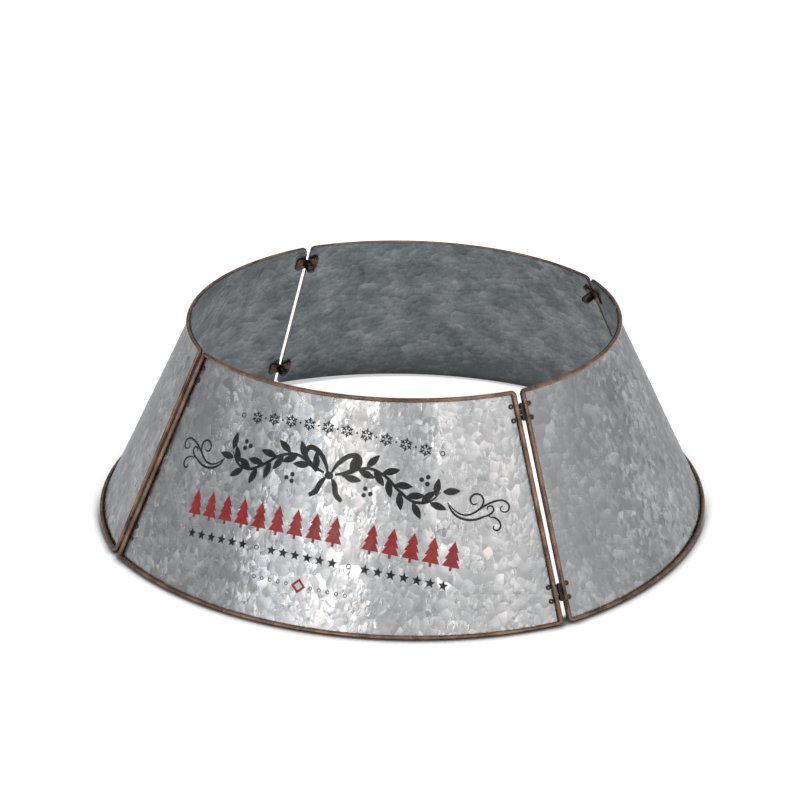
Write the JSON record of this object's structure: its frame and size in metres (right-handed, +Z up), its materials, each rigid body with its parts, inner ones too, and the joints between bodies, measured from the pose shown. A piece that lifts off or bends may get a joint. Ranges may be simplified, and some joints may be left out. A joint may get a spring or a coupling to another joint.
{
  "type": "christmas tree collar",
  "caption": "Flared ring of hammered galvanised sheet walls in rust-brown wire rims, hinged in front and latched behind, that hides a tree stand.",
  "frame": {"origin": "on the floor under the middle of the ring, at the centre of the footprint", "axes": "+Z up along the tree's trunk, -Y out of the decorated front wall, +X to the right seen from the front"},
  "size_m": [0.6476, 0.6476, 0.206],
  "materials": {
    "hammered_sheet": "hammered galvanised sheet with a bright mottled spangle",
    "aged_rim": "rust-brown aged wire, satin, worn lighter on top",
    "aged_plate": "rust-brown aged plate, satin",
    "black_hardware": "semi-gloss black",
    "black_knob": "gloss black",
    "rivet_steel": "dark tarnished steel, satin"
  },
  "bodies": {
    "front_wall": {"front_sheet": "hammered_sheet", "front_rim": "aged_rim", "front_right_upper_front_leaf": "black_hardware", "front_right_upper_pin": "black_hardware", "front_right_upper_front_rivet_1": "rivet_steel", "front_right_upper_front_rivet_2": "rivet_steel", "front_right_lower_front_leaf": "black_hardware", "front_right_lower_pin": "black_hardware", "front_right_lower_front_rivet_1": "rivet_steel", "front_right_lower_front_rivet_2": "rivet_steel", "front_left_upper_front_leaf": "black_hardware", "front_left_upper_pin": "black_hardware", "front_left_upper_front_rivet_1": "rivet_steel", "front_left_upper_front_rivet_2": "rivet_steel", "front_left_lower_front_leaf": "black_hardware", "front_left_lower_pin": "black_hardware", "front_left_lower_front_rivet_1": "rivet_steel", "front_left_lower_front_rivet_2": "rivet_steel"},
    "left_wall": {"left_sheet": "hammered_sheet", "left_rim": "aged_rim", "front_left_upper_side_leaf": "black_hardware", "front_left_upper_left_rivet_1": "rivet_steel", "front_left_upper_left_rivet_2": "rivet_steel", "front_left_lower_side_leaf": "black_hardware", "front_left_lower_left_rivet_1": "rivet_steel", "front_left_lower_left_rivet_2": "rivet_steel"},
    "right_and_back_walls": {"right_sheet": "hammered_sheet", "right_rim": "aged_rim", "back_sheet": "hammered_sheet", "back_rim": "aged_rim", "front_right_upper_side_leaf": "black_hardware", "front_right_upper_right_rivet_1": "rivet_steel", "front_right_upper_right_rivet_2": "rivet_steel", "front_right_lower_side_leaf": "black_hardware", "front_right_lower_right_rivet_1": "rivet_steel", "front_right_lower_right_rivet_2": "rivet_steel", "back_right_upper_latch_plate": "aged_plate", "back_right_upper_back_rivet_1": "rivet_steel", "back_right_upper_back_rivet_2": "rivet_steel", "back_right_lower_latch_plate": "aged_plate", "back_right_lower_back_rivet_1": "rivet_steel", "back_right_lower_back_rivet_2": "rivet_steel", "back_left_upper_latch_plate": "aged_plate", "back_left_upper_back_rivet_1": "rivet_steel", "back_left_upper_back_rivet_2": "rivet_steel", "back_left_lower_latch_plate": "aged_plate", "back_left_lower_back_rivet_1": "rivet_steel", "back_left_lower_back_rivet_2": "rivet_steel"},
    "back_right_upper_latch": {"back_right_upper_bolt": "black_hardware", "back_right_upper_washer": "black_hardware", "back_right_upper_knob": "black_knob"},
    "back_right_lower_latch": {"back_right_lower_bolt": "black_hardware", "back_right_lower_washer": "black_hardware", "back_right_lower_knob": "black_knob"},
    "back_left_upper_latch": {"back_left_upper_bolt": "black_hardware", "back_left_upper_washer": "black_hardware", "back_left_upper_knob": "black_knob"},
    "back_left_lower_latch": {"back_left_lower_bolt": "black_hardware", "back_left_lower_washer": "black_hardware", "back_left_lower_knob": "black_knob"}
  },
  "joints": [
    {"name": "left_wall_hinge", "type": "hinge", "parent": "front_wall", "child": "left_wall", "pos_m": [-0.23269, -0.23269, 0.00293], "axis": [0.3137, 0.3137, 0.8962], "range_deg": [0, 90]},
    {"name": "right_and_back_hinge", "type": "hinge", "parent": "front_wall", "child": "right_and_back_walls", "pos_m": [0.23269, -0.23269, 0.00293], "axis": [0.3137, -0.3137, -0.8962], "range_deg": [0, 90]},
    {"name": "back_right_upper_latch_turn", "type": "hinge", "parent": "right_and_back_walls", "child": "back_right_upper_latch", "pos_m": [0.1671, 0.1671, 0.18508], "axis": [0.6337, 0.6337, 0.4437], "range_deg": [0, 90]},
    {"name": "back_right_lower_latch_turn", "type": "hinge", "parent": "right_and_back_walls", "child": "back_right_lower_latch", "pos_m": [0.22244, 0.22244, 0.02699], "axis": [0.6337, 0.6337, 0.4437], "range_deg": [0, 90]},
    {"name": "back_left_upper_latch_turn", "type": "hinge", "parent": "right_and_back_walls", "child": "back_left_upper_latch", "pos_m": [-0.1671, 0.1671, 0.18508], "axis": [-0.6337, 0.6337, 0.4437], "range_deg": [0, 90]},
    {"name": "back_left_lower_latch_turn", "type": "hinge", "parent": "right_and_back_walls", "child": "back_left_lower_latch", "pos_m": [-0.22244, 0.22244, 0.02699], "axis": [-0.6337, 0.6337, 0.4437], "range_deg": [0, 90]}
  ]
}
